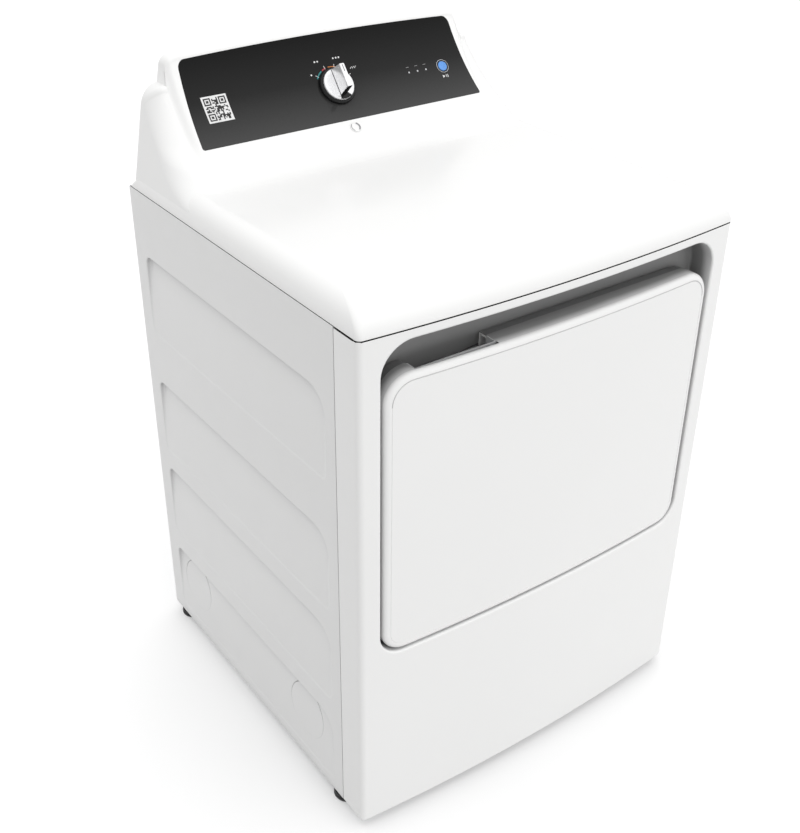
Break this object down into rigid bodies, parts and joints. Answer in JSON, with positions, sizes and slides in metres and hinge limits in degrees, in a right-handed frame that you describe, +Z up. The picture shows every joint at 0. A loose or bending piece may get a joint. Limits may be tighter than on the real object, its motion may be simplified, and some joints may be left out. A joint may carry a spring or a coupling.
{
  "type": "clothes dryer",
  "caption": "Front-loading tumble clothes dryer with a bowed front, side-hinged door, rolled-edge top, rear control console, drum, blower and exhaust.",
  "frame": {"origin": "on the floor under the middle of the overall outline, bowed front and exhaust collar included", "axes": "+Z up, -Y out of the door side, +X to the right of someone facing the door (the hinge side)"},
  "size_m": [0.686, 0.712, 1.108],
  "materials": {
    "white_enamel": "gloss enamel",
    "console_plastic": "satin white moulding",
    "black_fascia": "gloss black, fading to grey",
    "galvanised_sheet": "galvanised sheet",
    "zinc_hardware": "zinc plated",
    "chrome_trim": "bright plated",
    "silver_black_knob": "silver face on a black skirt",
    "blue_button": "translucent blue",
    "clear_lens": "clear",
    "grip_cup_grey": "light grey",
    "black_plastic": "matte black",
    "green_board": "lacquered board",
    "seal_rubber": "soft black",
    "belt_rubber": "ribbed black",
    "natural_plastic": "natural white",
    "filter_mesh": "fine mesh",
    "heater_ceramic": "oxidised resistance wire",
    "drum_steel": "enamelled drum",
    "motor_dark": "dark varnish",
    "foot_black": "black"
  },
  "bodies": {
    "cabinet": {"base_pan": "galvanised_sheet", "left_side_panel": "white_enamel", "right_side_panel": "white_enamel", "rear_panel": "galvanised_sheet", "front_panel": "white_enamel", "top_panel": "white_enamel", "console_shell": "console_plastic", "console_fascia": "black_fascia", "console_rear_cover": "galvanised_sheet", "console_badge": "chrome_trim", "indicator_lenses": "clear_lens", "start_button_ring": "chrome_trim", "control_board": "green_board", "selector_switch": "black_plastic", "hinge_leaves": "zinc_hardware", "door_catch": "black_plastic", "hinge_hole_plugs": "black_plastic", "door_switch": "black_plastic", "front_bulkhead": "galvanised_sheet", "drum_glides": "natural_plastic", "lint_duct": "natural_plastic", "rear_bulkhead": "galvanised_sheet", "heater_housing": "galvanised_sheet", "heater_coils": "heater_ceramic", "thermostats": "black_plastic", "rear_bearing": "natural_plastic", "drum_belt": "belt_rubber", "motor_body": "motor_dark", "motor_bracket": "galvanised_sheet", "blower_housing": "natural_plastic", "idler_spring": "zinc_hardware", "exhaust_duct": "galvanised_sheet", "exhaust_collar": "galvanised_sheet", "terminal_block": "black_plastic", "cabinet_screws": "zinc_hardware"},
    "door": {"door_outer_panel": "white_enamel", "door_inner_panel": "white_enamel", "door_grip_cup": "grip_cup_grey", "door_seal": "seal_rubber", "door_strike": "zinc_hardware", "door_hinge_arms": "zinc_hardware", "door_hinge_pins": "zinc_hardware"},
    "selector": {"selector_knob": "silver_black_knob", "selector_shaft": "zinc_hardware"},
    "start_button_body": {"start_button": "blue_button"},
    "door_switch_button": {"door_switch_plunger": "natural_plastic"},
    "lint_filter": {"lint_filter_frame": "natural_plastic", "lint_filter_mesh": "filter_mesh"},
    "drum": {"drum_shell": "drum_steel", "drum_back": "drum_steel", "drum_baffles": "natural_plastic", "drum_shaft": "zinc_hardware"},
    "motor_rotor": {"motor_shaft": "zinc_hardware", "blower_wheel": "natural_plastic"},
    "idler_arm_body": {"idler_arm": "galvanised_sheet"},
    "idler_wheel": {"idler_pulley": "natural_plastic"},
    "foot_fl": {"foot_front_left": "foot_black"},
    "foot_fr": {"foot_front_right": "foot_black"},
    "foot_rl": {"foot_rear_left": "foot_black"},
    "foot_rr": {"foot_rear_right": "foot_black"}
  },
  "joints": [
    {"name": "door_swing", "type": "hinge", "parent": "cabinet", "child": "door", "pos_m": [0.291, -0.33828, 0.5946], "axis": [0, 0, 1], "range_deg": [0, 100]},
    {"name": "selector_turn", "type": "hinge", "parent": "cabinet", "child": "selector", "pos_m": [0, 0.22893, 1.02225], "axis": [0, -0.7705, 0.6374], "range_deg": [-45, 80]},
    {"name": "start_press", "type": "slide", "parent": "cabinet", "child": "start_button_body", "axis": [0, 0.7705, -0.6374], "range_m": [0, 0.002], "stiffness_N_per_m": 600, "springref_m": -0.0005},
    {"name": "door_switch_press", "type": "slide", "parent": "cabinet", "child": "door_switch_button", "axis": [0, 1, 0], "range_m": [0, 0.004], "stiffness_N_per_m": 300, "springref_m": -0.001},
    {"name": "lint_filter_slide", "type": "slide", "parent": "cabinet", "child": "lint_filter", "axis": [0, 0, 1], "range_m": [0, 0.25]},
    {"name": "drum_spin", "type": "hinge", "parent": "cabinet", "child": "drum", "pos_m": [0, 0, 0.56], "axis": [0, 1, 0], "continuous": true},
    {"name": "motor_spin", "type": "hinge", "parent": "cabinet", "child": "motor_rotor", "pos_m": [-0.095, -0.1, 0.135], "axis": [0, 1, 0], "continuous": true},
    {"name": "idler_arm_swing", "type": "hinge", "parent": "cabinet", "child": "idler_arm_body", "pos_m": [-0.196, -0.045, 0.11], "axis": [0, 1, 0], "range_deg": [0, 6], "stiffness_Nm_per_rad": 8, "springref_deg": -17.19},
    {"name": "idler_spin", "type": "hinge", "parent": "idler_arm_body", "child": "idler_wheel", "pos_m": [-0.138, -0.0295, 0.206], "axis": [0, 1, 0], "continuous": true},
    {"name": "front_left_foot_level", "type": "slide", "parent": "cabinet", "child": "foot_fl", "axis": [0, 0, -1], "range_m": [-0.005, 0.02]},
    {"name": "front_right_foot_level", "type": "slide", "parent": "cabinet", "child": "foot_fr", "axis": [0, 0, -1], "range_m": [-0.005, 0.02]},
    {"name": "rear_left_foot_level", "type": "slide", "parent": "cabinet", "child": "foot_rl", "axis": [0, 0, -1], "range_m": [-0.005, 0.02]},
    {"name": "rear_right_foot_level", "type": "slide", "parent": "cabinet", "child": "foot_rr", "axis": [0, 0, -1], "range_m": [-0.005, 0.02]}
  ],
  "couplings": [
    {"joint": "motor_spin", "follows": "drum_spin", "ratio": 30.286},
    {"joint": "idler_spin", "follows": "drum_spin", "ratio": 12.231}
  ]
}
